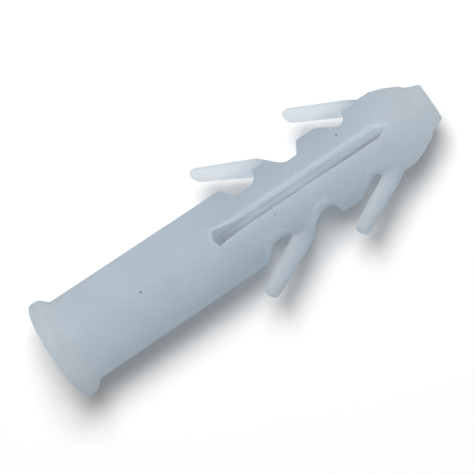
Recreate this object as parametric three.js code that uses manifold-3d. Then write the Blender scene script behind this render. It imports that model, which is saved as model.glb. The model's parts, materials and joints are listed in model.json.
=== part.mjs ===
// Expansion wall anchor for a 10 mm hole, lying on its side. Millimetres, +Z up.
// The plug's axis runs along +X from the collar to the nose. The two jaws of the
// expansion zone, and the four locking tongues, swing in the horizontal plane.
// X is counted from the collar's end face and Z from the plug's axis while the
// pieces are made. The whole plug is moved to its resting place at the end.

import * as THREE from 'three';
import { mergeVertices } from 'three/addons/utils/BufferGeometryUtils.js';
import Module from 'manifold-3d';

const wasm = await Module();
wasm.setup();

// ---------- driving dimensions ----------

const plugLength = 50;          // collar face to nose end
const sleeveRadius = 5.1;       // round body, at the collar
const shoulderRadius = 4.7;     // round body, at the front shoulder
const collarLip = 0.98;         // how far the collar stands out past the sleeve
const collarThickness = 2.6;    // collar face to the end of its flare
const rimStart = 0.4;           // the full rim radius runs from here
const rimEnd = 1.1;             // to here
const rimCorner = 0.3;          // rounding of the rim's front corner

const boreRadius = 3.3;         // screw hole
const mouthFlare = 0.6;         // how much wider the hole is at its countersunk mouth
const mouthDepth = 1.2;
const channelRadius = 1.25;     // screw channel between the jaws
const channelEndRadius = 0.9;
const boreTaperLength = 4.5;    // from the full bore down to the channel
const slotWidth = 1.6;          // lengthwise split that frees the two jaws
const slotMouthWidth = 2.2;     // its wider rear end
const slotMouthLength = 3;

const headLength = 9.6;         // front hinge line to the nose end
const linkLength = 6.3;         // hinge line to hinge line, the same for all links
const slotOverrun = 4.4;        // slot's end past the front hinge line
const slotLead = 6;             // slot's start before the rear hinge line
const notchHalfWidth = 2.8;     // body's half width at the hinge notches
const hingeGap = 0.3;           // clearance that stands for the thin hinge web
const expandAngle = 8;          // degrees each jaw link turns outward
const foldClearance = 0.05;     // extra slope of the waist's inner wedge

const sleeveRampLength = 1.6;   // slope from the sleeve's end down to the notch
const sleeveRampToHinge = 2.8;  // slope's start before the rear hinge line
const stepLength = 0.6;         // steep rear slope of the front jaw's bump
const stepOffset = 0.6;         // waist to the foot of that slope
const bumpLength = 2.2;         // top of the bump
const bumpCornerCut = 0.25;     // bevel on the bump's rear corner

const tongueRootThickness = 1.6;
const tongueTipThickness = 1.25;
const tongueHeight = 4.4;
const tongueRoundWidth = 0.45;  // rounding of a tongue's upper and lower edges, across
const tongueRoundHeight = 1.5;  // and up
const rootGap = 0.3;            // clearance that stands for the tongue's web
// Per pair of tongues: hinge to tip, degrees off the plug's axis, the tongue's own
// hinge ahead of the jaw hinge line, and how far below the body's surface it lies.
const rearTongue = { length: 7.3, angle: 28, ahead: 2, sunk: 0.2 };
const frontTongue = { length: 6.8, angle: 27, ahead: 1.2, sunk: 0 };
const apexToRoot = 1;           // deepest end of a tongue's slot to the tongue's hinge
const apexRise = 0.6;           // first steep stretch from there up to the tongue
const rearRampLength = 1.7;     // lower slope of the rear jaw, down to the waist
const rearRampDrop = 1.2;       // how far that slope falls
const rearRampFlat = 0.9;       // flat notch floor from its foot to the waist
const frontRampFlat = 0.4;      // flat notch floor before the front hinge line

const shoulderToNose = 5.2;     // end of the straight shoulder to the nose end
const shoulderCurve = [[3.7, 0.5], [2.1, 1.3]];  // before the nose end, and the drop
const neckRadius = 2.7;
const neckToNose = 1.4;
const noseRadius = 2.17;
const noseSides = 8;

const roundSides = 32;

// ---------- derived places along the plug ----------

const frontHingeX = plugLength - headLength;
const waistX = frontHingeX - linkLength;
const rearHingeX = waistX - linkLength;
const slotStartX = rearHingeX - slotLead;
const slotEndX = frontHingeX + slotOverrun;
const neckX = plugLength - neckToNose;
const shoulderEndX = plugLength - shoulderToNose;
const collarRadius = sleeveRadius + collarLip;
const mouthRadius = boreRadius + mouthFlare;
const hingeY = (notchHalfWidth + channelRadius) / 2;
const restHeight = collarRadius * Math.cos(Math.PI / roundSides);
const tall = 4 * collarRadius;
const wide = 4 * collarRadius;

function bodyRadiusAt(x) {
  const share = (x - collarThickness) / (shoulderEndX - collarThickness);
  return sleeveRadius + (shoulderRadius - sleeveRadius) * share;
}

// ---------- solids ----------

function solidFrom(geometry) {
  const bare = geometry.clone();
  bare.deleteAttribute('normal');
  bare.deleteAttribute('uv');
  const merged = mergeVertices(bare, 1e-5);
  const mesh = new wasm.Mesh({
    numProp: 3,
    vertProperties: new Float32Array(merged.attributes.position.array),
    triVerts: new Uint32Array(merged.index.array),
  });
  return new wasm.Manifold(mesh);
}

function geometryFrom(solid) {
  const mesh = solid.getMesh();
  const geometry = new THREE.BufferGeometry();
  geometry.setAttribute('position', new THREE.BufferAttribute(mesh.vertProperties, 3));
  geometry.setIndex(new THREE.BufferAttribute(mesh.triVerts, 1));
  geometry.computeVertexNormals();
  return geometry;
}

// A round solid about the plug's axis, from [x, radius] pairs. A flat facet of it
// faces straight down.
function turned(outline, sides = roundSides) {
  const first = outline[0];
  const last = outline[outline.length - 1];
  const points = [[first[0], 0], ...outline, [last[0], 0]];
  const profile = points.map(([x, radius]) => new THREE.Vector2(radius, x));
  const geometry = new THREE.LatheGeometry(profile, sides);
  geometry.rotateY(Math.PI / sides);
  geometry.rotateZ(-Math.PI / 2);
  return solidFrom(geometry);
}

// An upright prism over a plan outline of [x, y] pairs, centred on the axis.
function upright(outline, height = tall) {
  const shape = new THREE.Shape(outline.map(([x, y]) => new THREE.Vector2(x, y)));
  const geometry = new THREE.ExtrudeGeometry(shape, { depth: height, bevelEnabled: false });
  geometry.translate(0, 0, -height / 2);
  return solidFrom(geometry);
}

// The same with its upper and lower edges rounded off, as the tongues are.
function softUpright(outline) {
  const shape = new THREE.Shape(outline.map(([x, y]) => new THREE.Vector2(x, y)));
  const depth = tongueHeight - 2 * tongueRoundHeight;
  const geometry = new THREE.ExtrudeGeometry(shape, {
    depth,
    bevelThickness: tongueRoundHeight,
    bevelSize: tongueRoundWidth,
    bevelOffset: -tongueRoundWidth,
    bevelSegments: 3,
  });
  geometry.translate(0, 0, -depth / 2);
  return solidFrom(geometry);
}

function slab(x0, x1, y0, y1) {
  return upright([[x0, y0], [x1, y0], [x1, y1], [x0, y1]]);
}

// ---------- outlines ----------

function collarOutline() {
  const points = [[0, collarRadius - rimCorner], [rimStart, collarRadius], [rimEnd, collarRadius]];
  const steps = 4;
  for (let i = 1; i <= steps; i += 1) {
    const share = i / steps;
    const proud = collarLip * (1 + Math.cos(Math.PI * share)) / 2;
    points.push([rimEnd + (collarThickness - rimEnd) * share, sleeveRadius + proud]);
  }
  return points;
}

function bodyOutline() {
  const curve = shoulderCurve.map(([before, drop]) => [plugLength - before, shoulderRadius - drop]);
  return [[collarThickness, sleeveRadius], [shoulderEndX, shoulderRadius], ...curve, [neckX, neckRadius]];
}

// Half of the body's plan outline: the hinge notches and the slopes beside them.
function notchedOutline() {
  const full = 2 * collarRadius;
  const rampFoot = rearHingeX - sleeveRampToHinge + sleeveRampLength;
  const rampTop = rearHingeX - sleeveRampToHinge;
  const rearRoot = tongueRoot(rearHingeX, rearTongue);
  const frontRoot = tongueRoot(frontHingeX, frontTongue);
  const stepFoot = waistX + stepOffset;
  const bumpStart = stepFoot + stepLength;
  const bumpEnd = bumpStart + bumpLength;
  const bumpTop = bodyRadiusAt(bumpStart);
  const rearFoot = waistX - rearRampFlat;
  const frontRootTop = rootFace(frontRoot)[1];
  return [
    [0, 0],
    [0, full],
    [rampTop, full],
    [rampTop, bodyRadiusAt(rampTop)],
    [rampFoot, notchHalfWidth],
    [rearRoot.apexX, notchHalfWidth],
    [rearRoot.apexX + apexToRoot / 2, notchHalfWidth + apexRise],
    ...rootFace(rearRoot),
    [rearFoot - rearRampLength, notchHalfWidth + rearRampDrop],
    [rearFoot, notchHalfWidth],
    [stepFoot, notchHalfWidth],
    [bumpStart, bumpTop - bumpCornerCut],
    [bumpStart + bumpCornerCut, bumpTop],
    [bumpEnd, bumpTop],
    [frontHingeX - frontRampFlat, notchHalfWidth],
    [frontRoot.apexX, notchHalfWidth],
    [frontRoot.apexX + apexToRoot / 2, notchHalfWidth + apexRise],
    ...rootFace(frontRoot),
    [frontRootTop[0], full],
    [plugLength, full],
    [plugLength, 0],
  ];
}

// ---------- tongues ----------

// A tongue's hinge in plan, and the bottom of the gap between it and the body.
function tongueRoot(hingeLineX, tongue) {
  const x = hingeLineX + tongue.ahead;
  return { ...tongue, x, y: bodyRadiusAt(x) - tongue.sunk, apexX: x - apexToRoot };
}

// A point of a tongue: along it from its hinge, and across it, outward positive.
function tonguePoint(root, along, across) {
  const lean = THREE.MathUtils.degToRad(root.angle);
  return [
    root.x - along * Math.cos(lean) + across * Math.sin(lean),
    root.y + along * Math.sin(lean) + across * Math.cos(lean),
  ];
}

// The body's side of the gap at a tongue's hinge, from its inner to its outer edge.
function rootFace(root) {
  const half = tongueRootThickness / 2;
  return [tonguePoint(root, -rootGap / 2, -half), tonguePoint(root, -rootGap / 2, half)];
}

// Everything on the tongue's side of that gap.
function beyondRoot(root) {
  const start = rootGap / 2;
  return upright([
    tonguePoint(root, start, -wide),
    tonguePoint(root, start, wide),
    tonguePoint(root, wide, wide),
    tonguePoint(root, wide, -wide),
  ]);
}

// Everything on the body's side of it.
function behindRoot(root) {
  const end = -rootGap / 2;
  return upright([
    tonguePoint(root, end, wide),
    tonguePoint(root, end, -wide),
    tonguePoint(root, -wide, -wide),
    tonguePoint(root, -wide, wide),
  ]);
}

// A whole tongue's outline, carried on past its hinge to be cut there.
function tongueOutline(root) {
  const start = -tongueRootThickness;
  const tipCentre = root.length - tongueTipThickness / 2;
  const points = [tonguePoint(root, start, tongueRootThickness / 2)];
  const steps = 8;
  for (let i = 0; i <= steps; i += 1) {
    const turn = Math.PI / 2 - (i / steps) * Math.PI;
    const along = tipCentre + (tongueTipThickness / 2) * Math.cos(turn);
    points.push(tonguePoint(root, along, (tongueTipThickness / 2) * Math.sin(turn)));
  }
  points.push(tonguePoint(root, start, -tongueRootThickness / 2));
  return points;
}

// The thick foot that carries a tongue, sloping down to the body ahead of it.
function footSolid(root, slopeEnd) {
  const half = tongueRootThickness / 2;
  const reach = tongueRootThickness / 2;
  const outline = [
    tonguePoint(root, reach, -half),
    tonguePoint(root, reach, half),
    slopeEnd,
    [slopeEnd[0], hingeY],
    [root.apexX + apexToRoot / 2, hingeY],
  ];
  return softUpright(outline).intersect(behindRoot(root));
}

// ---------- body regions ----------

// One side of the body between two hinge lines. The waist's faces lean apart
// towards the axis, so that the links can turn there.
function linkRegion(startX, endX, startIsWaist, endIsWaist) {
  const lean = hingeY * (Math.tan(THREE.MathUtils.degToRad(expandAngle)) + foldClearance);
  const start = startX + hingeGap / 2;
  const end = endX - hingeGap / 2;
  const startAtAxis = startIsWaist ? start + lean : start;
  const endAtAxis = endIsWaist ? end - lean : end;
  return upright([
    [startAtAxis, 0],
    [endAtAxis, 0],
    [end, hingeY],
    [end, wide],
    [start, wide],
    [start, hingeY],
  ]);
}

const blank = turned(bodyOutline());

const bore = turned([
  [-mouthDepth, mouthRadius],
  [0, mouthRadius],
  [mouthDepth, boreRadius],
  [slotStartX, boreRadius],
  [slotStartX + boreTaperLength, channelRadius],
  [slotEndX, channelEndRadius],
]);

const slot = upright([
  [slotStartX, -slotMouthWidth / 2],
  [slotStartX + slotMouthLength, -slotWidth / 2],
  [slotEndX, -slotWidth / 2],
  [slotEndX, slotWidth / 2],
  [slotStartX + slotMouthLength, slotWidth / 2],
  [slotStartX, slotMouthWidth / 2],
]);

function notchedBody() {
  const half = notchedOutline();
  const mirrored = half.map(([x, y]) => [x, -y]).reverse();
  const plan = upright(half).add(upright(mirrored));
  return blank.intersect(plan).subtract(bore).subtract(slot);
}

const body = notchedBody();

function sleeveSolid() {
  return body.intersect(slab(0, rearHingeX - hingeGap / 2, -wide, wide));
}

function collarSolid() {
  return turned(collarOutline()).subtract(bore);
}

function rearJawSolid() {
  const root = tongueRoot(rearHingeX, rearTongue);
  const slopeEnd = [waistX - rearRampFlat, notchHalfWidth];
  const link = body.intersect(linkRegion(rearHingeX, waistX, false, true));
  return link.add(footSolid(root, slopeEnd));
}

function frontJawSolid() {
  return body.intersect(linkRegion(waistX, frontHingeX, true, false));
}

function headSolid() {
  const root = tongueRoot(frontHingeX, frontTongue);
  const slopeEnd = [shoulderEndX, shoulderRadius];
  const foot = footSolid(root, slopeEnd);
  const halves = body.intersect(slab(frontHingeX + hingeGap / 2, neckX, -wide, wide));
  return halves.add(foot).add(foot.mirror([0, 1, 0]));
}

function noseSolid() {
  const flat = Math.cos(Math.PI / noseSides);
  return turned([[neckX, neckRadius / flat], [plugLength, noseRadius / flat]], noseSides);
}

function tongueSolid(hingeLineX, tongue) {
  const root = tongueRoot(hingeLineX, tongue);
  return softUpright(tongueOutline(root)).intersect(beyondRoot(root));
}

// ---------- assembly ----------

const plastics = {
  shell: { color: 0xb9c6d2, roughness: 0.42 },
  jaw: { color: 0xb4c1cd, roughness: 0.42 },
  head: { color: 0xbac8d4, roughness: 0.4 },
  tongue: { color: 0xc6d2dc, roughness: 0.4 },
};

function plasticMaterial({ color, roughness }) {
  return new THREE.MeshStandardMaterial({ color, roughness, metalness: 0 });
}

const plug = new THREE.Group();
plug.name = 'wall_anchor';

function place(name, solid, plastic) {
  const mesh = new THREE.Mesh(geometryFrom(solid), plasticMaterial(plastics[plastic]));
  mesh.name = name;
  plug.add(mesh);
}

place('collar', collarSolid(), 'shell');
place('sleeve', sleeveSolid(), 'shell');
place('head', headSolid(), 'head');
place('nose', noseSolid(), 'head');

const onLeft = [
  ['rear_jaw', rearJawSolid(), 'jaw'],
  ['front_jaw', frontJawSolid(), 'jaw'],
  ['rear_tongue', tongueSolid(rearHingeX, rearTongue), 'tongue'],
  ['front_tongue', tongueSolid(frontHingeX, frontTongue), 'tongue'],
];
for (const [name, solid, plastic] of onLeft) {
  place(`${name}_left`, solid, plastic);
  place(`${name}_right`, solid.mirror([0, 1, 0]), plastic);
}

plug.position.set(-plugLength / 2, 0, restHeight);

export default plug;
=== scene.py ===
"""Wall anchor in natural translucent plastic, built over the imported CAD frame.

The moulding is one soft-edged solid described by signed distances, negative inside. It is
meshed once and cut into pieces at the middle of each link, where no joint bends it, so that
the pieces meet without a seam. Lengths of the moulding are in millimetres, with x counted
from the collar's end face and z from the plug's axis.
"""
import json
import math

import bmesh
import bpy
import numpy as np
from mathutils import Matrix, Vector


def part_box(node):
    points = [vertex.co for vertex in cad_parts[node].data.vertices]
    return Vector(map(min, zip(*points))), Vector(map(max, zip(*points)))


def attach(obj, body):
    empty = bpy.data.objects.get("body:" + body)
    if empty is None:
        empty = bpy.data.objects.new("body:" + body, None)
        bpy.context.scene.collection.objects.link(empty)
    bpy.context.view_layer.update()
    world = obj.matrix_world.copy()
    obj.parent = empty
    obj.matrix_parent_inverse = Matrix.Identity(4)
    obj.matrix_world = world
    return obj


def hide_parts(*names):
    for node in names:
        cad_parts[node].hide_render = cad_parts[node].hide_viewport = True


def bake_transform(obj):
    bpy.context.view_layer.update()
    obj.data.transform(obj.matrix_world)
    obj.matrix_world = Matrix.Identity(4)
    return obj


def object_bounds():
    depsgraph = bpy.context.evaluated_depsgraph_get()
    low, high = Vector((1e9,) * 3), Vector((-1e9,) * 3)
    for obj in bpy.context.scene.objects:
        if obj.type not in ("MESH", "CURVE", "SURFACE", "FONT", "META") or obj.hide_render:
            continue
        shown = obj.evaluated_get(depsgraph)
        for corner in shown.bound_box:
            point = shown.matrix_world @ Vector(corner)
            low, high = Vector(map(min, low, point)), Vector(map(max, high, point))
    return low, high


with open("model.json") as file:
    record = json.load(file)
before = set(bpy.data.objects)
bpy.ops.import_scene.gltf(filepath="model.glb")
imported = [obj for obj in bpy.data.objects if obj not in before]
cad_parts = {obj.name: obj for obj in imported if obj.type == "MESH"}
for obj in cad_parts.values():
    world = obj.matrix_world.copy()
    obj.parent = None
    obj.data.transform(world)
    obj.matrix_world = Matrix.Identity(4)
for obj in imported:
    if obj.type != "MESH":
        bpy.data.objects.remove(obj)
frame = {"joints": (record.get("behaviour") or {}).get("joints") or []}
cad_box = [list(corner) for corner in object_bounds()]

MM = 0.001
joint_places = {joint["name"]: joint["pos_m"] for joint in frame["joints"]}

# ---------- places taken from the frame ----------

collar_low, collar_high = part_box("collar")
nose_low, nose_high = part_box("nose")
face_x = collar_low.x
axis_z = joint_places["jaw_expand"][2]


def along_plug(x_m):
    """Millimetres from the collar's end face."""
    return (x_m - face_x) / MM


def hinge_x(joint):
    """Where along the plug that joint's hinge lies."""
    return along_plug(joint_places[joint][0])


plug_length = along_plug(nose_high.x)
collar_radius = (collar_high.y - collar_low.y) / 2 / MM
collar_thickness = along_plug(collar_high.x)
rear_hinge_x = hinge_x("jaw_expand")
waist_x = hinge_x("waist_left")
front_hinge_x = hinge_x("head_follow")
hinge_y = joint_places["jaw_expand"][1] / MM
neck_x = along_plug(nose_low.x)

# ---------- the moulding's own dimensions ----------

sleeve_radius = 5.1
shoulder_radius = 4.7
shoulder_end_x = plug_length - 5.2
neck_radius = 2.7
nose_radius = 2.17
rim_start, rim_end, rim_corner = 0.4, 1.1, 0.3

bore_radius = 3.3
mouth_radius = 3.9
mouth_depth = 1.2
channel_radius = 1.25
channel_end_radius = 0.9
slot_start_x = rear_hinge_x - 6
slot_end_x = front_hinge_x + 4.4
bore_taper_end_x = slot_start_x + 4.5
slot_half_width = 0.8
slot_mouth_half_width = 1.1
slot_mouth_length = 3
slot_front_widening = 0.06

notch_half_width = 2.8
sleeve_ramp_x = rear_hinge_x - 2.8
sleeve_ramp_length = 1.6
step_x = waist_x + 0.6
step_length = 0.6
bump_length = 2.2

tongue_root_half = 0.8
tongue_tip_half = 0.69
tongue_half_height = 2.2
tongue_rounding = 0.3
apex_to_root = 1
apex_rise = 0.6
rear_slope_length, rear_slope_drop, rear_slope_flat = 1.7, 1.2, 0.9
front_slope_flat = 0.4


def tongue_sizes(joint, length, angle, swell):
    """A tongue's hinge place, its length, its lean in degrees, and how proud its foot stands."""
    return {
        "x": hinge_x(joint),
        "y": joint_places[joint][1] / MM,
        "length": length,
        "angle": angle,
        "swell": swell,
    }


tongues = {
    "rear": tongue_sizes("rear_tongue_left_fold", 7.3, 28, 0.25),
    "front": tongue_sizes("front_tongue_left_fold", 6.8, 27, 0),
}

# how far corners of the plan are smoothed
left_notch_softness = 0.14
right_notch_softness = 0.32
tongue_softness = 0.08

# radii of the rounded edges between surfaces
body_edge = 0.3
tongue_edge = 0.5
nose_corner = 0.25
nose_end_edge = 0.15
nose_joint_edge = 0.12
slot_edge = 0.2

cell = 0.16          # mesh spacing
half_breadth = 8.9   # a little more than the tongues reach to each side
web_reach = 0.35     # half the length that bends at a hinge
far = 20.0           # beyond everything

# ---------- where the moulding is cut into pieces ----------

SIDES = {"left": 1, "right": -1}
ROOT_CUT = -web_reach
ROOT_CLEARANCE = 1.3
shell_end_x = rear_hinge_x - 0.9
rear_link_middle_x = (rear_hinge_x + waist_x) / 2
front_link_middle_x = (waist_x + front_hinge_x) / 2
head_start_x = front_hinge_x + 2.1

# ---------- signed distances ----------


def soft_max(a, b, radius):
    """The larger of two distances, with the edge between them rounded off."""
    overlap = np.maximum(radius - np.abs(a - b), 0) / radius
    return np.maximum(a, b) + overlap * overlap * radius / 4


def soft_min(a, b, radius):
    """The smaller of two distances, with the corner between them filled in."""
    return -soft_max(-a, -b, radius)


def outline_distance(x, y, points):
    """Signed distance in plan to a closed outline of (x, y) points."""
    nearest = np.full(np.broadcast(x, y).shape, far * far)
    inside = np.zeros(nearest.shape, bool)
    for (ax, ay), (bx, by) in zip(points, points[1:] + points[:1]):
        ex, ey = bx - ax, by - ay
        share = np.clip(((x - ax) * ex + (y - ay) * ey) / (ex * ex + ey * ey), 0, 1)
        nearest = np.minimum(nearest, (x - ax - share * ex) ** 2 + (y - ay - share * ey) ** 2)
        if ey != 0:
            crosses = ((ay > y) != (by > y)) & (x < ax + ex * (y - ay) / ey)
            inside ^= crosses
    return np.where(inside, -1, 1) * np.sqrt(nearest)


def softened(points, softness):
    """The outline's distance as a function of x and y, with every corner rounded."""
    pitch = 0.06
    xs = np.arange(-1, plug_length + 1, pitch)
    ys = np.arange(-1, 10, pitch)
    grid = outline_distance(xs[:, None], ys[None, :], points)
    reach = int(3 * softness / pitch) + 1
    weights = np.exp(-0.5 * (np.arange(-reach, reach + 1) * pitch / softness) ** 2)
    weights /= weights.sum()
    for axis in (0, 1):
        pad = [(reach, reach) if axis == k else (0, 0) for k in (0, 1)]
        padded = np.pad(grid, pad, mode="edge")
        size = grid.shape[axis]
        grid = sum(w * np.take(padded, range(i, i + size), axis) for i, w in enumerate(weights))

    def sample(x, y):
        u = np.clip((x - xs[0]) / pitch, 0, len(xs) - 2)
        v = np.clip((y - ys[0]) / pitch, 0, len(ys) - 2)
        i, j = u.astype(int), v.astype(int)
        s, t = u - i, v - j
        low = grid[i, j] * (1 - s) + grid[i + 1, j] * s
        high = grid[i, j + 1] * (1 - s) + grid[i + 1, j + 1] * s
        return low * (1 - t) + high * t

    return sample


def turned_distance(x, radius, outline):
    """Distance to the side of a round solid about the axis, from (x, radius) pairs."""
    xs = [point[0] for point in outline]
    rs = [point[1] for point in outline]
    surface = np.interp(x, xs, rs)
    slope = (np.interp(x + cell, xs, rs) - np.interp(x - cell, xs, rs)) / (2 * cell)
    return (radius - surface) / np.sqrt(1 + slope * slope)


# ---------- outlines ----------


def body_radius_at(x):
    """The body narrows evenly from the collar to the front shoulder."""
    share = (x - collar_thickness) / (shoulder_end_x - collar_thickness)
    return sleeve_radius + (shoulder_radius - sleeve_radius) * share


def blank_outline():
    """The round body's half profile, with the collar's flare and the front shoulder."""
    points = [(0, collar_radius - rim_corner), (rim_start, collar_radius), (rim_end, collar_radius)]
    steps = 12
    for i in range(1, steps + 1):
        share = i / steps
        proud = (collar_radius - sleeve_radius) * (1 + math.cos(math.pi * share)) / 2
        points.append((rim_end + (collar_thickness - rim_end) * share, sleeve_radius + proud))
    points.append((shoulder_end_x, shoulder_radius))
    points.append((plug_length - 3.7, shoulder_radius - 0.5))
    points.append((plug_length - 2.1, shoulder_radius - 1.3))
    points.append((neck_x, neck_radius))
    return points


def tongue_point(tongue, along, across):
    """A point of a left tongue: along it from its hinge, and across it, outward positive."""
    lean = math.radians(tongue["angle"])
    x = tongue["x"] - along * math.cos(lean) + across * math.sin(lean)
    y = tongue["y"] + along * math.sin(lean) + across * math.cos(lean)
    return (x, y)


def notched_outline():
    """Half of the body's plan: the hinge notches and the slopes beside them."""
    rear, front = tongues["rear"], tongues["front"]
    rear_apex_x = rear["x"] - apex_to_root
    front_apex_x = front["x"] - apex_to_root
    bump_x = step_x + step_length
    waist_foot_x = waist_x - rear_slope_flat
    return [
        (-far, -far),
        (-far, far),
        (sleeve_ramp_x, far),
        (sleeve_ramp_x, body_radius_at(sleeve_ramp_x)),
        (sleeve_ramp_x + sleeve_ramp_length, notch_half_width),
        (rear_apex_x, notch_half_width),
        (rear_apex_x + apex_to_root / 2, notch_half_width + apex_rise),
        tongue_point(rear, 0, -tongue_root_half),
        tongue_point(rear, 0, tongue_root_half),
        (waist_foot_x - rear_slope_length, notch_half_width + rear_slope_drop),
        (waist_foot_x, notch_half_width),
        (step_x, notch_half_width),
        (bump_x, body_radius_at(bump_x)),
        (bump_x + bump_length, body_radius_at(bump_x)),
        (front_hinge_x - front_slope_flat, notch_half_width),
        (front_apex_x, notch_half_width),
        (front_apex_x + apex_to_root / 2, notch_half_width + apex_rise),
        tongue_point(front, 0, -tongue_root_half),
        (tongue_point(front, 0, tongue_root_half)[0], far),
        (plug_length + far, far),
        (plug_length + far, -far),
    ]


def tongue_outline(tongue, slope_end):
    """A left tongue with the foot that carries it, sloping down to the body ahead."""
    tip = tongue["length"] - tongue_tip_half
    points = [tongue_point(tongue, -0.3, tongue_root_half + tongue["swell"])]
    steps = 10
    for i in range(steps + 1):
        turn = math.pi / 2 - math.pi * i / steps
        along = tip + tongue_tip_half * math.cos(turn)
        points.append(tongue_point(tongue, along, tongue_tip_half * math.sin(turn)))
    points.append(tongue_point(tongue, 0, -tongue_root_half))
    points.append((tongue["x"] - apex_to_root / 2, hinge_y))
    points.append((slope_end[0], hinge_y))
    points.append(slope_end)
    return points


left_plan = softened(notched_outline(), left_notch_softness)
right_plan = softened(notched_outline(), right_notch_softness)
rear_slope_end = (waist_x - rear_slope_flat, notch_half_width)
rear_tongue_plan = softened(tongue_outline(tongues["rear"], rear_slope_end), tongue_softness)
front_slope_end_x = tongues["front"]["x"] + 1.6
front_slope_end = (front_slope_end_x, body_radius_at(front_slope_end_x))
front_tongue_plan = softened(tongue_outline(tongues["front"], front_slope_end), tongue_softness)
slot_outline = [
    (slot_start_x, 0),
    (slot_start_x + 0.3, slot_mouth_half_width),
    (slot_start_x + slot_mouth_length, slot_half_width),
    (waist_x + 1.5, slot_half_width),
    (waist_x + 4, slot_half_width + slot_front_widening),
    (slot_end_x - 1.6, slot_half_width + slot_front_widening),
    (slot_end_x, 0.15),
    (slot_end_x, -far),
    (slot_start_x, -far),
]
round_outline = blank_outline()
bore_outline = [
    (-mouth_depth, mouth_radius),
    (0, mouth_radius),
    (mouth_depth, bore_radius),
    (slot_start_x, bore_radius),
    (bore_taper_end_x, channel_radius),
    (slot_end_x, channel_end_radius),
]


def tongue_distance(plan, x, y, z):
    """A tongue's section is a lens: thinner towards its upper and lower edges."""
    height = np.abs(z) / tongue_half_height
    side = plan(x, y) + tongue_rounding * height ** 5
    return soft_max(side, np.abs(z) - tongue_half_height, tongue_edge)


def nose_distance(x, y, z):
    """The blunt end is an eight-sided taper."""
    share = np.clip((x - neck_x) / (plug_length - neck_x), -1, 1)
    flat = neck_radius + (nose_radius - neck_radius) * share
    diagonal = (np.abs(y) + np.abs(z)) * math.sqrt(0.5)
    square = soft_max(np.abs(y), np.abs(z), nose_corner)
    side = soft_max(square, diagonal, nose_corner) - flat
    return soft_max(side, np.abs(x - plug_length + 1) - 1, nose_end_edge)


def inner_distance(x, y, radius):
    """Distance to the screw hole and the slot together."""
    bore = np.maximum(turned_distance(x, radius, bore_outline), x - slot_end_x)
    return np.minimum(bore, outline_distance(x, y, slot_outline))


def moulding_distance(x, y, z):
    """The whole plug. Its right side's notches are rounder than its left side's."""
    on_left = y > 0
    y = np.abs(y)
    radius = np.sqrt(y * y + z * z)
    blank = turned_distance(x, radius, round_outline)
    blank = soft_max(blank, np.abs(x - neck_x / 2) - neck_x / 2, body_edge)
    solid = soft_min(blank, nose_distance(x, y, z), nose_joint_edge)
    plan = np.where(on_left, left_plan(x, y), right_plan(x, y))
    solid = soft_max(solid, plan, body_edge)
    solid = soft_min(solid, tongue_distance(rear_tongue_plan, x, y, z), body_edge)
    solid = soft_min(solid, tongue_distance(front_tongue_plan, x, y, z), body_edge)
    return soft_max(solid, -inner_distance(x, y, radius), slot_edge)


# ---------- meshing ----------


def surface_net(distance, low, high, step):
    """Points and quads of the surface where distance is zero, on a grid of cubes."""
    axes = [np.arange(a, b + step, step) for a, b in zip(low, high)]
    values = distance(axes[0][:, None, None], axes[1][None, :, None], axes[2][None, None, :])
    inside = values < 0
    shape = [len(axis) - 1 for axis in axes]
    total = np.zeros(shape + [3])
    count = np.zeros(shape)
    for axis in range(3):
        first = [slice(None)] * 3
        second = [slice(None)] * 3
        first[axis] = slice(0, -1)
        second[axis] = slice(1, None)
        a, b = values[tuple(first)], values[tuple(second)]
        crossed = (a < 0) != (b < 0)
        share = np.where(crossed, a / np.where(crossed, a - b, 1), 0)
        others = [k for k in range(3) if k != axis]
        for da in (0, 1):
            for db in (0, 1):
                part = [slice(None)] * 3
                part[others[0]] = slice(da, shape[others[0]] + da)
                part[others[1]] = slice(db, shape[others[1]] + db)
                hit = crossed[tuple(part)]
                count += hit
                total[..., axis] += share[tuple(part)] * hit
                total[..., others[0]] += da * hit
                total[..., others[1]] += db * hit
    used = count > 0
    number = np.full(shape, -1)
    number[used] = np.arange(used.sum())
    places = np.argwhere(used)
    points = np.array(low) + (places + total[used] / count[used][:, None]) * step
    quads = []
    for axis in range(3):
        others = [k for k in range(3) if k != axis]
        first = [slice(1, -1)] * 3
        second = [slice(1, -1)] * 3
        first[axis] = slice(0, -1)
        second[axis] = slice(1, None)
        a, b = inside[tuple(first)], inside[tuple(second)]
        for hit, order in ((a & ~b, 1), (b & ~a, -1)):
            cells = np.argwhere(hit)
            cells[:, others[0]] += 1
            cells[:, others[1]] += 1
            ring = []
            for da, db in ((0, 0), (1, 0), (1, 1), (0, 1)):
                corner = cells.copy()
                corner[:, others[0]] -= da
                corner[:, others[1]] -= db
                ring.append(number[tuple(corner.T)])
            turn = order if axis != 1 else -order
            quads.append(np.stack(ring[::turn], axis=1))
    return points, np.concatenate(quads)


def drawn_to_surface(points, distance):
    """Moves each point onto the surface, along the steepest way there."""
    h = 0.02
    for _ in range(2):
        x, y, z = points.T
        value = distance(x, y, z)
        slope = np.stack([
            distance(x + h, y, z) - distance(x - h, y, z),
            distance(x, y + h, z) - distance(x, y - h, z),
            distance(x, y, z + h) - distance(x, y, z - h),
        ], axis=1) / (2 * h)
        length = np.maximum((slope * slope).sum(1), 0.25)
        shift = -value[:, None] * slope / length[:, None]
        points = points + np.clip(shift, -cell / 2, cell / 2)
    return points


def in_frame(points):
    """Metres in the frame, from millimetres along, across and above the plug's axis."""
    return points * MM + np.array([face_x, 0, axis_z])


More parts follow.
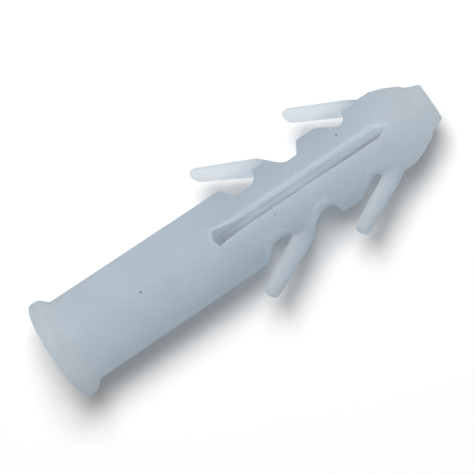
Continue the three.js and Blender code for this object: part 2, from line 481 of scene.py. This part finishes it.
def whole_mesh():
    """The moulding's surface as one mesh in the frame."""
    tall = collar_radius + 2 * cell
    low = (-2 * cell, -half_breadth, -tall)
    high = (plug_length + 2 * cell, half_breadth, tall)
    points, quads = surface_net(moulding_distance, low, high, cell)
    points = drawn_to_surface(points, moulding_distance)
    mesh = bpy.data.meshes.new("moulding")
    mesh.from_pydata(in_frame(points).tolist(), [], quads.tolist())
    return mesh


# ---------- cutting the moulding into pieces ----------


def plan_of(point):
    """(x, y) in millimetres of a frame point."""
    return along_plug(point.x), point.y / MM


def cut(work, faces, place, direction):
    """Cuts those faces along a plane through an (x, y) place in millimetres."""
    edges = {edge for face in faces for edge in face.edges}
    verts = {vert for face in faces for vert in face.verts}
    bmesh.ops.bisect_plane(
        work,
        geom=list(verts) + list(edges) + list(faces),
        plane_co=(face_x + place[0] * MM, place[1] * MM, axis_z),
        plane_no=(direction[0], direction[1], 0),
        dist=1e-8,
    )


def tongue_frame(tongue, side):
    """A function from plan places to (along, across) of the tongue on that side."""
    lean = math.radians(tongue["angle"])

    def measure(x, y):
        dx, dy = x - tongue["x"], side * y - tongue["y"]
        along = -dx * math.cos(lean) + dy * math.sin(lean)
        across = dx * math.sin(lean) + dy * math.cos(lean)
        return (along, across)

    return measure


def tongue_name(kind, side_name):
    return f"{kind}_tongue_{side_name}"


def region_of(x, y):
    """The name of the piece that a plan place belongs to."""
    for kind, tongue in tongues.items():
        for side_name, side in SIDES.items():
            along, across = tongue_frame(tongue, side)(x, y)
            if along > ROOT_CUT and across > -ROOT_CLEARANCE and y * side > hinge_y:
                return tongue_name(kind, side_name)
    side_name = "left" if y > 0 else "right"
    if x < shell_end_x:
        return "shell"
    if x < rear_link_middle_x:
        return f"rear_web_{side_name}"
    if x < front_link_middle_x:
        return f"waist_{side_name}"
    if side_name == "left" and x < head_start_x:
        return "front_web_left"
    if side_name == "right" and x < front_hinge_x:
        return "front_link_right"
    return "head"


def cut_moulding(mesh):
    """Cuts the whole mesh where pieces meet and returns {piece name: face numbers}."""
    work = bmesh.new()
    work.from_mesh(mesh)
    for tongue in tongues.values():
        lean = math.radians(tongue["angle"])
        for side in SIDES.values():
            measure = tongue_frame(tongue, side)
            near = []
            for face in work.faces:
                x, y = plan_of(face.calc_center_median())
                along, across = measure(x, y)
                close = abs(along - ROOT_CUT) < 4 * cell and abs(across) < ROOT_CLEARANCE
                if close and y * side > hinge_y:
                    near.append(face)
            place_x, place_y = tongue_point(tongue, ROOT_CUT, 0)
            cut(work, near, (place_x, place_y * side), (-math.cos(lean), math.sin(lean) * side))
    for x, sides in (
        (shell_end_x, (1, -1)),
        (rear_link_middle_x, (1, -1)),
        (front_link_middle_x, (1, -1)),
        (head_start_x, (1,)),
        (front_hinge_x, (-1,)),
    ):
        near = []
        for face in work.faces:
            face_place_x, face_place_y = plan_of(face.calc_center_median())
            if abs(face_place_x - x) > 2 * cell or abs(face_place_y) > sleeve_radius + 0.5:
                continue
            on_side = (1 if face_place_y > 0 else -1) in sides
            if on_side and "_tongue_" not in region_of(face_place_x, face_place_y):
                near.append(face)
        cut(work, near, (x, 0), (1, 0))
    faces_of = {}
    for face in work.faces:
        region = region_of(*plan_of(face.calc_center_median()))
        faces_of.setdefault(region, []).append(face.index)
    work.to_mesh(mesh)
    work.free()
    return faces_of


within_depth = 1.3          # depth below the round body at which a notch gets its full painted glow, painted light on its walls
slot_painted_glow = 0.35        # the most that counts beside the slot
notch_painted_glow = 0.8        # and elsewhere in a notch
outside_start = 0.1         # a tongue gets the painted glow from this far outside the round body, where its plastic is thin
outside_depth = 1.2
right_tongue_glow_share = 0.3    # the right tongues get less of the painted glow: painted shade, as they lie deeper in shade, so they look thicker


def mark_painted_glow(mesh):
    """Stores a painted glow at each point, paler colour that stands in for light through thin
    plastic and lifts the shade in the notches: 1 deep in a notch and on the tongues.
    """
    co = np.array([vert.co for vert in mesh.vertices])
    x, y, z = (co[:, 0] - face_x) / MM, co[:, 1] / MM, (co[:, 2] - axis_z) / MM
    proud = turned_distance(x, np.hypot(y, z), round_outline)
    proud = np.where(x > neck_x - 0.5, 0, proud)
    # painted light: the walls deep in the notches and beside the slot are painted paler, lifting
    # the shade that falls in them
    beside_slot = np.abs(y) < slot_mouth_half_width + 0.2
    most_within = np.where(beside_slot, slot_painted_glow, notch_painted_glow)
    within = np.clip(-proud / within_depth, 0, most_within)
    outside = np.clip((proud - outside_start) / outside_depth, 0, 1)
    # painted shade on the right tongues: they get only a share of the painted glow
    outside = outside * np.where(y > 0, 1, right_tongue_glow_share)
    attribute = mesh.attributes.new("painted_glow", "FLOAT", "POINT")
    attribute.data.foreach_set("value", np.maximum(within, outside).astype(np.float32))


def piece_mesh(mesh, name, faces):
    """One piece: its share of the surface. Its cut ends meet its neighbours' and stay open,
    so that light passes along the plastic as in one moulding."""
    work = bmesh.new()
    work.from_mesh(mesh)
    work.faces.ensure_lookup_table()
    kept = set(faces)
    bmesh.ops.delete(work, geom=[f for f in work.faces if f.index not in kept], context="FACES")
    for face in work.faces:
        face.smooth = True
    made = bpy.data.meshes.new(name)
    work.to_mesh(made)
    work.free()
    mark_painted_glow(made)
    return made


# ---------- looks ----------


milky_tint = (0.765, 0.82, 0.865)
painted_glow_tint = (0.93, 0.96, 0.985)
clearness = 0.8      # share of the light that passes through a surface


def plastic_material(name):
    """Natural polyethylene: milky, waxy, with faint flow marks, scuffs and specks, and a painted
    glow that makes it paler where the plastic is thin.
    """
    material = bpy.data.materials.new(name)
    material.use_nodes = True
    nodes = material.node_tree.nodes
    links = material.node_tree.links
    nodes.clear()
    output = nodes.new("ShaderNodeOutputMaterial")
    surface = nodes.new("ShaderNodeBsdfPrincipled")
    surface.inputs["Roughness"].default_value = 0.42
    surface.inputs["IOR"].default_value = 1.5
    place = nodes.new("ShaderNodeTexCoord")

    def noise(scale, detail):
        node = nodes.new("ShaderNodeTexNoise")
        node.inputs["Scale"].default_value = scale
        node.inputs["Detail"].default_value = detail
        links.new(place.outputs["Object"], node.inputs["Vector"])
        return node.outputs["Fac"]

    def ramp(value, stops):
        node = nodes.new("ShaderNodeValToRGB")
        for element, (position, tint) in zip(node.color_ramp.elements, stops):
            element.position = position
            element.color = (*tint, 1)
        links.new(value, node.inputs["Fac"])
        return node.outputs["Color"]

    def mix(factor, a, b, kind="MIX"):
        node = nodes.new("ShaderNodeMix")
        node.data_type = "RGBA"
        node.blend_type = kind
        if isinstance(factor, float):
            node.inputs["Factor"].default_value = factor
        else:
            links.new(factor, node.inputs["Factor"])
        links.new(a, node.inputs["A"])
        links.new(b, node.inputs["B"])
        return node.outputs["Result"]

    dim = tuple(c * 0.965 for c in milky_tint)
    clouds = ramp(noise(260, 3), ((0.35, dim), (0.65, milky_tint)))
    # painted glow: paler where the plastic is thin, on the tongues and deep in the notches, in
    # place of light passing through it
    painted_glow = nodes.new("ShaderNodeAttribute")
    painted_glow.attribute_name = "painted_glow"
    pale = nodes.new("ShaderNodeRGB")
    pale.outputs["Color"].default_value = (*painted_glow_tint, 1)
    clouds = mix(painted_glow.outputs["Fac"], clouds, pale.outputs["Color"])
    grain = ramp(noise(2400, 4), ((0.3, (0.96, 0.96, 0.96)), (0.7, (1, 1, 1))))
    colour = mix(1.0, clouds, grain, "MULTIPLY")
    speck_field = nodes.new("ShaderNodeTexVoronoi")
    speck_field.inputs["Scale"].default_value = 300
    links.new(place.outputs["Object"], speck_field.inputs["Vector"])
    specks = ramp(speck_field.outputs["Distance"], ((0.03, (0.35, 0.34, 0.34)), (0.05, (1, 1, 1))))
    colour = mix(1.0, colour, specks, "MULTIPLY")
    links.new(colour, surface.inputs["Base Color"])
    bump = nodes.new("ShaderNodeBump")
    bump.inputs["Strength"].default_value = 0.12
    bump.inputs["Distance"].default_value = 0.0001
    links.new(noise(1800, 3), bump.inputs["Height"])
    links.new(bump.outputs["Normal"], surface.inputs["Normal"])
    through = nodes.new("ShaderNodeBsdfTranslucent")
    links.new(colour, through.inputs["Color"])
    blend = nodes.new("ShaderNodeMixShader")
    blend.inputs["Fac"].default_value = clearness
    links.new(surface.outputs["BSDF"], blend.inputs[1])
    links.new(through.outputs["BSDF"], blend.inputs[2])
    links.new(blend.outputs["Shader"], output.inputs["Surface"])
    return material


materials = {}
for slot_name in ("shell", "jaw", "head", "tongue"):
    materials[slot_name] = plastic_material(f"natural_plastic_{slot_name}")

# ---------- pieces ----------


def bend_at(piece):
    """Bakes a piece's placement into its mesh."""
    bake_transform(piece)


def fold_at(piece):
    """Bakes a tongue's placement into its mesh."""
    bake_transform(piece)


moulding = whole_mesh()
regions = cut_moulding(moulding)
pieces = {}
for name, faces in regions.items():
    piece = bpy.data.objects.new(f"plastic_{name}", piece_mesh(moulding, f"plastic_{name}", faces))
    bpy.context.scene.collection.objects.link(piece)
    pieces[name] = piece
bpy.data.meshes.remove(moulding)


def finish_piece(name, slot, *nodes):
    """Gives a piece its material and slot, and the CAD nodes that it replaces."""
    piece = pieces[name]
    piece.data.materials.append(materials[slot])
    if nodes:
        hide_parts(*nodes)


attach(pieces["shell"], "shell")
finish_piece("shell", "shell", "collar", "sleeve")
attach(pieces["head"], "head")
finish_piece("head", "head", "head", "nose")
for side_name in SIDES:
    bend_at(pieces[f"rear_web_{side_name}"])
    finish_piece(f"rear_web_{side_name}", "jaw", f"rear_jaw_{side_name}")
    bend_at(pieces[f"waist_{side_name}"])
    finish_piece(f"waist_{side_name}", "jaw", f"rear_jaw_{side_name}", f"front_jaw_{side_name}")
bend_at(pieces["front_web_left"])
finish_piece("front_web_left", "jaw", "front_jaw_left")
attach(pieces["front_link_right"], "front_jaw_right")
finish_piece("front_link_right", "jaw", "front_jaw_right")
for kind, tongue in tongues.items():
    for side_name, side in SIDES.items():
        name = tongue_name(kind, side_name)
        fold_at(pieces[name])
        finish_piece(name, "tongue", name)

# ---------- floor, light and camera ----------


def floor_material():
    material = bpy.data.materials.new("pale_floor")
    material.use_nodes = True
    nodes = material.node_tree.nodes
    links = material.node_tree.links
    nodes.clear()
    output = nodes.new("ShaderNodeOutputMaterial")
    matte = nodes.new("ShaderNodeBsdfDiffuse")
    matte.inputs["Color"].default_value = (0.86, 0.855, 0.85, 1)
    lift = nodes.new("ShaderNodeEmission")
    path = nodes.new("ShaderNodeLightPath")
    scale = nodes.new("ShaderNodeMath")
    scale.operation = "MULTIPLY"
    scale.inputs[1].default_value = 0.03
    links.new(path.outputs["Is Camera Ray"], scale.inputs[0])
    links.new(scale.outputs["Value"], lift.inputs["Strength"])
    both = nodes.new("ShaderNodeAddShader")
    links.new(matte.outputs["BSDF"], both.inputs[0])
    links.new(lift.outputs["Emission"], both.inputs[1])
    links.new(both.outputs["Shader"], output.inputs["Surface"])
    return material


def make_floor():
    half = 0.6
    mesh = bpy.data.meshes.new("floor")
    corners = [(-half, -half, 0), (half, -half, 0), (half, half, 0), (-half, half, 0)]
    mesh.from_pydata(corners, [], [(0, 1, 2, 3)])
    mesh.materials.append(floor_material())
    floor = bpy.data.objects.new("floor", mesh)
    bpy.context.scene.collection.objects.link(floor)


def make_world():
    world = bpy.data.worlds.new("studio")
    bpy.context.scene.world = world
    world.use_nodes = True
    nodes = world.node_tree.nodes
    links = world.node_tree.links
    background = nodes["Background"]
    path = nodes.new("ShaderNodeLightPath")
    seen = nodes.new("ShaderNodeMix")
    seen.data_type = "RGBA"
    seen.inputs["A"].default_value = (0.2, 0.198, 0.195, 1)
    seen.inputs["B"].default_value = (1, 1, 1, 1)
    links.new(path.outputs["Is Camera Ray"], seen.inputs["Factor"])
    links.new(seen.outputs["Result"], background.inputs["Color"])
    background.inputs["Strength"].default_value = 1


def make_light(name, heading, elevation, distance, size, power):
    """A soft square lamp that looks at the plug, from a compass heading about +Z."""
    turn, rise = math.radians(heading), math.radians(elevation)
    way = Vector((math.cos(turn) * math.cos(rise), math.sin(turn) * math.cos(rise), math.sin(rise)))
    lamp = bpy.data.lights.new(name, "AREA")
    lamp.size = size
    lamp.energy = power
    holder = bpy.data.objects.new(name, lamp)
    holder.location = way * distance
    holder.rotation_mode = "QUATERNION"
    holder.rotation_quaternion = way.to_track_quat("Z", "Y")
    bpy.context.scene.collection.objects.link(holder)


def make_camera():
    """Nearly straight above, leaning towards the nose and the right jaw."""
    middle = Vector(((cad_box[0][0] + cad_box[1][0]) / 2, 0, axis_z))
    distance = 0.396
    lean_x, lean_y = math.sin(math.radians(5.5)), -math.sin(math.radians(9.5))
    back = Vector((lean_x, lean_y, math.sqrt(1 - lean_x ** 2 - lean_y ** 2)))
    heading = math.radians(33)
    right = (-back).cross(Vector((math.sin(heading), math.cos(heading), 0))).normalized()
    up = right.cross(-back)
    data = bpy.data.cameras.new("camera")
    data.sensor_width = 36
    data.lens = 271.7
    camera = bpy.data.objects.new("camera", data)
    place = middle + back * distance - right * (0.675 * MM) - up * (1.05 * MM)
    turned = Matrix((right, up, back)).transposed().to_4x4()
    camera.matrix_world = Matrix.Translation(place) @ turned
    bpy.context.scene.collection.objects.link(camera)
    bpy.context.scene.camera = camera


make_floor()
make_world()
make_light("key", 57, 71, 0.5, 0.27, 2.75)
make_camera()
bpy.context.scene.view_settings.view_transform = "Standard"
